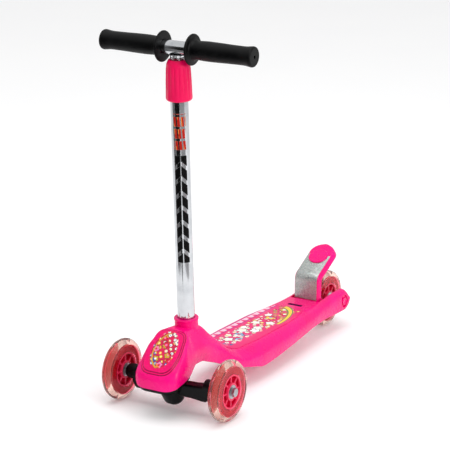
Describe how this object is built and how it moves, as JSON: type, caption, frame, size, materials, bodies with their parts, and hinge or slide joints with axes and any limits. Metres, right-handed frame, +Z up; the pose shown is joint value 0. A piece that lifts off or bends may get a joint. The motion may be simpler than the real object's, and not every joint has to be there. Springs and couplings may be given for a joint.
{
  "type": "kick scooter",
  "caption": "Child's lean-to-steer kick scooter with light-up clear wheels, a foot brake over the rear wheel, a hooded front end and a telescoping T-bar with a twist lock.",
  "frame": {"origin": "on the ground, under the centre of the bounding box", "axes": "+Z up, the scooter faces -Y, +X to its left"},
  "size_m": [0.27, 0.6284, 0.6074],
  "materials": {
    "pink_plastic": "glossy moulded plastic",
    "knob_plastic": "glossy moulded plastic, a redder pink",
    "face_print": "printed picture under clear film",
    "deck_print": "printed picture with a grip grain",
    "brake_foil": "silver glitter foil",
    "black_plastic": "fine grained moulded plastic",
    "zinc_steel": "zinc plated",
    "bushing_urethane": "satin cast urethane",
    "clear_urethane": "clear glossy cast urethane, slightly pink",
    "hub_plastic": "glossy moulded plastic",
    "light_gold": "clear block over a brass coloured core",
    "chrome_tube": "polished chrome plate",
    "grip_rubber": "matt moulded rubber with a fine grain"
  },
  "bodies": {
    "deck": {"deck_shell": "pink_plastic", "face_cover": "pink_plastic", "face_label": "face_print", "deck_label": "deck_print", "base_plate": "black_plastic", "base_screw_1": "zinc_steel", "base_screw_2": "zinc_steel", "base_screw_3": "zinc_steel", "base_screw_4": "zinc_steel", "kingpin_bolt": "zinc_steel", "kingpin_nut": "zinc_steel", "kingpin_washer": "zinc_steel", "bushing_lower": "bushing_urethane", "bushing_upper": "bushing_urethane", "lower_stem_tube": "chrome_tube", "stem_cross_pin": "zinc_steel", "lock_collet": "black_plastic", "brake_pin": "zinc_steel", "brake_spring": "zinc_steel", "rear_axle_bolt": "zinc_steel", "rear_axle_nut": "zinc_steel", "rear_spacer_left": "zinc_steel", "rear_spacer_right": "zinc_steel"},
    "truck": {"truck_body": "black_plastic", "kingpin_cap": "black_plastic", "axle_bolt_left": "zinc_steel", "axle_bolt_right": "zinc_steel", "axle_washer_left": "zinc_steel", "axle_washer_right": "zinc_steel"},
    "wheel_left": {"wheel_left_tyre": "clear_urethane", "wheel_left_hub": "hub_plastic", "wheel_left_bearing_a": "zinc_steel", "wheel_left_bearing_b": "zinc_steel", "wheel_left_spacer": "zinc_steel", "wheel_left_light": "light_gold"},
    "wheel_right": {"wheel_right_tyre": "clear_urethane", "wheel_right_hub": "hub_plastic", "wheel_right_bearing_a": "zinc_steel", "wheel_right_bearing_b": "zinc_steel", "wheel_right_spacer": "zinc_steel", "wheel_right_light": "light_gold"},
    "wheel_rear": {"wheel_rear_tyre": "clear_urethane", "wheel_rear_hub": "hub_plastic", "wheel_rear_bearing_a": "zinc_steel", "wheel_rear_bearing_b": "zinc_steel", "wheel_rear_spacer": "zinc_steel", "wheel_rear_light": "light_gold"},
    "knob": {"lock_knob": "knob_plastic"},
    "handlebar": {"upper_stem_tube": "chrome_tube", "stem_weld": "chrome_tube", "crossbar": "chrome_tube", "grip_left": "grip_rubber", "grip_right": "grip_rubber"},
    "brake": {"brake_pedal": "pink_plastic", "brake_shoe": "black_plastic", "brake_label": "brake_foil", "brake_badge": "pink_plastic"}
  },
  "joints": [
    {"name": "lean_steer", "type": "hinge", "parent": "deck", "child": "truck", "pos_m": [0, -0.24479, 0.02], "axis": [0, -0.6004, 0.7997], "range_deg": [-12, 12], "stiffness_Nm_per_rad": 15},
    {"name": "wheel_left_spin", "type": "hinge", "parent": "truck", "child": "wheel_left", "pos_m": [0.0985, -0.24979, 0.05], "axis": [1, 0, 0], "continuous": true},
    {"name": "wheel_right_spin", "type": "hinge", "parent": "truck", "child": "wheel_right", "pos_m": [-0.0985, -0.24979, 0.05], "axis": [1, 0, 0], "continuous": true},
    {"name": "wheel_rear_spin", "type": "hinge", "parent": "deck", "child": "wheel_rear", "pos_m": [0, 0.26421, 0.05], "axis": [1, 0, 0], "continuous": true},
    {"name": "bar_height", "type": "slide", "parent": "deck", "child": "handlebar", "axis": [0, -0.0698, 0.9976], "range_m": [0, 0.12]},
    {"name": "knob_twist", "type": "hinge", "parent": "deck", "child": "knob", "pos_m": [0, -0.20369, 0], "axis": [0, -0.0698, 0.9976], "range_deg": [0, 90]},
    {"name": "brake_press", "type": "hinge", "parent": "deck", "child": "brake", "pos_m": [0, 0.19921, 0.058], "axis": [-1, 0, 0], "range_deg": [0, 7.5], "stiffness_Nm_per_rad": 1.2, "springref_deg": -8.59}
  ]
}
